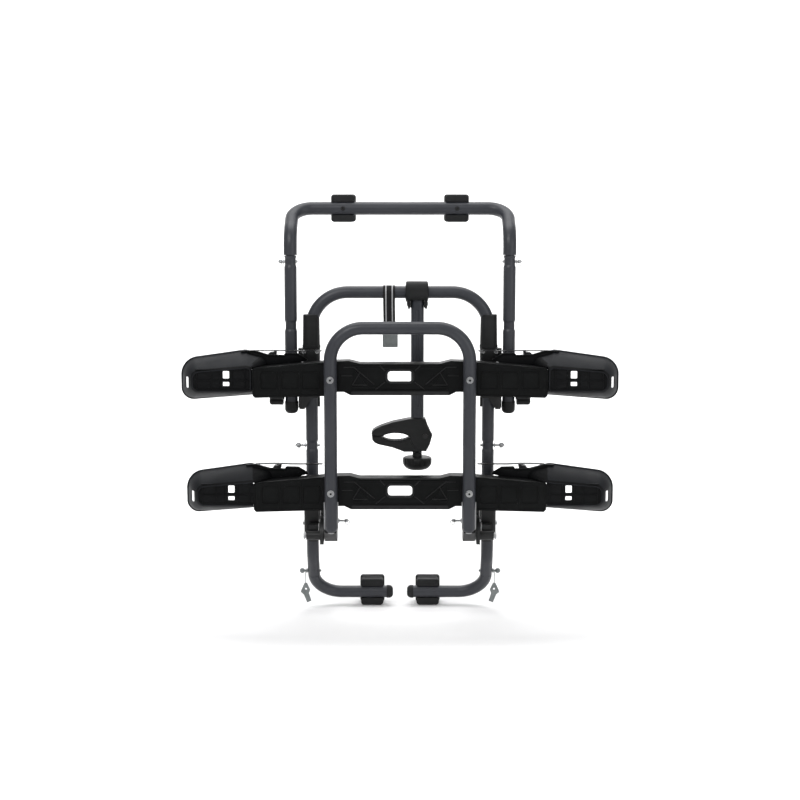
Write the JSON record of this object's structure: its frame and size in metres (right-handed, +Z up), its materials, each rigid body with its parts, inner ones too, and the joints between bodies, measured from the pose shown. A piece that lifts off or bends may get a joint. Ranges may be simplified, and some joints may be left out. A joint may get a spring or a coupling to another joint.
{
  "type": "platform bike rack",
  "caption": "Folding platform bike rack: bent tube hoop, mast and feet with pads, wheel trays with sliding scoops, and a clamp arm with a toothed claw.",
  "frame": {"origin": "middle of the folded rack's footprint, at the height of the lowest pad edge", "axes": "+X across the car, +Y towards the car, +Z up"},
  "size_m": [1.192, 0.3456, 1.1725],
  "materials": {
    "frame_paint": "satin charcoal powder coat on steel tube",
    "arm_paint": "satin charcoal powder coat on an oval tube",
    "black_plastic": "moulded black nylon, fine grain",
    "knob_plastic": "moulded black nylon, worn lobes",
    "tray_plastic": "moulded black polypropylene, ribbed",
    "scoop_plastic": "moulded black polypropylene, fine grain",
    "strap_plastic": "ribbed black ratchet strap",
    "black_steel": "black powder coat on steel brackets",
    "pad_rubber": "moulded black rubber",
    "zinc": "bright zinc plate",
    "webbing": "black polyester webbing with two pale tracer lines",
    "buckle_metal": "cast grey zinc alloy"
  },
  "bodies": {
    "root": {"left_upright": "frame_paint", "right_upright": "frame_paint", "upright_clamps": "black_steel", "hoop_hinges": "black_steel", "platform_brackets": "black_steel", "frame_bolts": "zinc"},
    "hoop_lower": {"left_hoop_leg": "frame_paint", "right_hoop_leg": "frame_paint", "hoop_leg_caps": "black_plastic"},
    "hoop_upper": {"hoop": "frame_paint", "left_hoop_pad": "pad_rubber", "right_hoop_pad": "pad_rubber", "pad_screws": "black_steel"},
    "mast": {"mast": "frame_paint", "mast_sleeves": "black_plastic", "tie_strap": "webbing", "tie_buckle": "buckle_metal"},
    "collar": {"collar_bush": "black_plastic"},
    "arm": {"arm_head": "black_plastic", "arm_tube": "arm_paint", "arm_bolt": "zinc"},
    "claw": {"claw_upper_jaw": "black_plastic", "claw_rivet": "black_steel", "upper_jaw_pad": "pad_rubber"},
    "lower_jaw": {"claw_lower_jaw": "black_plastic", "lower_jaw_pad": "pad_rubber"},
    "knob": {"claw_knob": "knob_plastic"},
    "platform": {"platform_frame": "frame_paint", "platform_end_caps": "frame_paint", "platform_lugs": "black_steel", "platform_saddles": "zinc", "upper_tray_beam": "tray_plastic", "lower_tray_beam": "tray_plastic", "upper_tray_wings": "tray_plastic", "lower_tray_wings": "tray_plastic", "tray_bolts": "zinc"},
    "left_hoop_knob": {"left_hoop_knob": "knob_plastic"},
    "left_foot": {"left_foot": "frame_paint", "left_foot_cap": "pad_rubber"},
    "left_foot_pad": {"left_foot_pad": "pad_rubber"},
    "left_hoop_pin": {"left_hoop_pin": "zinc"},
    "left_mast_pin": {"left_mast_pin": "zinc"},
    "left_foot_pin": {"left_foot_pin": "buckle_metal"},
    "left_platform_pin": {"left_platform_pin": "zinc"},
    "left_upper_scoop": {"left_upper_scoop": "scoop_plastic", "left_upper_wheel_strap": "strap_plastic"},
    "left_lower_scoop": {"left_lower_scoop": "scoop_plastic", "left_lower_wheel_strap": "strap_plastic"},
    "right_hoop_knob": {"right_hoop_knob": "knob_plastic"},
    "right_foot": {"right_foot": "frame_paint", "right_foot_cap": "pad_rubber"},
    "right_foot_pad": {"right_foot_pad": "pad_rubber"},
    "right_hoop_pin": {"right_hoop_pin": "zinc"},
    "right_mast_pin": {"right_mast_pin": "zinc"},
    "right_foot_pin": {"right_foot_pin": "buckle_metal"},
    "right_platform_pin": {"right_platform_pin": "zinc"},
    "right_upper_scoop": {"right_upper_scoop": "scoop_plastic", "right_upper_wheel_strap": "strap_plastic"},
    "right_lower_scoop": {"right_lower_scoop": "scoop_plastic", "right_lower_wheel_strap": "strap_plastic"}
  },
  "joints": [
    {"name": "hoop_tilt", "type": "hinge", "parent": "root", "child": "hoop_lower", "pos_m": [0, 0, 0.625], "axis": [-1, 0, 0], "range_deg": [-4, 75]},
    {"name": "hoop_extend", "type": "slide", "parent": "hoop_lower", "child": "hoop_upper", "axis": [0, 0, 1], "range_m": [0, 0.12]},
    {"name": "mast_lift", "type": "slide", "parent": "root", "child": "mast", "axis": [0, 0, 1], "range_m": [0, 0.1]},
    {"name": "collar_slide", "type": "slide", "parent": "mast", "child": "collar", "axis": [1, 0, 0], "range_m": [-0.02, 0.06]},
    {"name": "arm_tilt", "type": "hinge", "parent": "collar", "child": "arm", "pos_m": [0, 0, 0.908], "axis": [1, 0, 0], "range_deg": [-4, 130]},
    {"name": "claw_swivel", "type": "hinge", "parent": "arm", "child": "claw", "pos_m": [0.048, 0, 0.56], "axis": [0, 0, -1], "range_deg": [-5, 180]},
    {"name": "jaw_open", "type": "hinge", "parent": "claw", "child": "lower_jaw", "pos_m": [0.07, 0, 0.51], "axis": [0, -1, 0], "range_deg": [0, 16]},
    {"name": "claw_knob_turn", "type": "hinge", "parent": "lower_jaw", "child": "knob", "pos_m": [0.048, 0, 0.449], "axis": [0, 0, 1], "continuous": true},
    {"name": "platform_fold", "type": "hinge", "parent": "root", "child": "platform", "pos_m": [0, -0.08, 0.243], "axis": [1, 0, 0], "range_deg": [0, 90]},
    {"name": "left_hoop_knob_turn", "type": "hinge", "parent": "root", "child": "left_hoop_knob", "pos_m": [-0.34, 0, 0.625], "axis": [-1, 0, 0], "continuous": true},
    {"name": "left_foot_extend", "type": "slide", "parent": "root", "child": "left_foot", "axis": [0, 0.5878, -0.809], "range_m": [0, 0.03]},
    {"name": "left_foot_pad_swivel", "type": "hinge", "parent": "left_foot", "child": "left_foot_pad", "pos_m": [-0.08, 0.09627, 0.0385], "axis": [1, 0, 0], "range_deg": [-20, 20]},
    {"name": "left_hoop_pin_pull", "type": "slide", "parent": "hoop_lower", "child": "left_hoop_pin", "axis": [-1, 0, 0], "range_m": [0, 0.045]},
    {"name": "left_mast_pin_pull", "type": "slide", "parent": "root", "child": "left_mast_pin", "axis": [-1, 0, 0], "range_m": [0, 0.05]},
    {"name": "left_foot_pin_pull", "type": "slide", "parent": "root", "child": "left_foot_pin", "axis": [-1, 0, 0], "range_m": [0, 0.045]},
    {"name": "left_platform_pin_pull", "type": "slide", "parent": "platform", "child": "left_platform_pin", "axis": [1, 0, 0], "range_m": [0, 0.04]},
    {"name": "left_upper_scoop_slide", "type": "slide", "parent": "platform", "child": "left_upper_scoop", "axis": [-1, 0, 0], "range_m": [0, 0.05]},
    {"name": "left_lower_scoop_slide", "type": "slide", "parent": "platform", "child": "left_lower_scoop", "axis": [-1, 0, 0], "range_m": [0, 0.05]},
    {"name": "right_hoop_knob_turn", "type": "hinge", "parent": "root", "child": "right_hoop_knob", "pos_m": [0.34, 0, 0.625], "axis": [1, 0, 0], "continuous": true},
    {"name": "right_foot_extend", "type": "slide", "parent": "root", "child": "right_foot", "axis": [0, 0.5878, -0.809], "range_m": [0, 0.03]},
    {"name": "right_foot_pad_swivel", "type": "hinge", "parent": "right_foot", "child": "right_foot_pad", "pos_m": [0.08, 0.09627, 0.0385], "axis": [1, 0, 0], "range_deg": [-20, 20]},
    {"name": "right_hoop_pin_pull", "type": "slide", "parent": "hoop_lower", "child": "right_hoop_pin", "axis": [1, 0, 0], "range_m": [0, 0.045]},
    {"name": "right_mast_pin_pull", "type": "slide", "parent": "root", "child": "right_mast_pin", "axis": [1, 0, 0], "range_m": [0, 0.05]},
    {"name": "right_foot_pin_pull", "type": "slide", "parent": "root", "child": "right_foot_pin", "axis": [1, 0, 0], "range_m": [0, 0.045]},
    {"name": "right_platform_pin_pull", "type": "slide", "parent": "platform", "child": "right_platform_pin", "axis": [-1, 0, 0], "range_m": [0, 0.04]},
    {"name": "right_upper_scoop_slide", "type": "slide", "parent": "platform", "child": "right_upper_scoop", "axis": [1, 0, 0], "range_m": [0, 0.05]},
    {"name": "right_lower_scoop_slide", "type": "slide", "parent": "platform", "child": "right_lower_scoop", "axis": [1, 0, 0], "range_m": [0, 0.05]}
  ]
}
